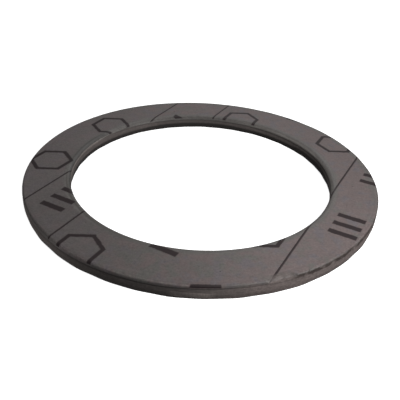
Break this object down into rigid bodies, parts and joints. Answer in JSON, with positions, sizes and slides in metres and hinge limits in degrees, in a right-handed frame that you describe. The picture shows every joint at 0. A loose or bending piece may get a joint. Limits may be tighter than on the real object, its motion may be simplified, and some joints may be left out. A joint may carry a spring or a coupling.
{
  "type": "graphite gasket",
  "caption": "Flat round sealing ring, die-cut in one piece from graphite sheet, with a large central bore and rolled top edges.",
  "frame": {"origin": "centre of the ring's bottom face, on the bore's axis", "axes": "+Z along the bore's axis, from the bottom face towards the printed top face with the rolled edges"},
  "size_m": [0.077, 0.077, 0.003],
  "materials": {
    "graphite_sheet": "satin grey, fine calendered grain, dark cut edges"
  },
  "bodies": {
    "root": {"gasket_ring": "graphite_sheet"}
  },
  "joints": []
}
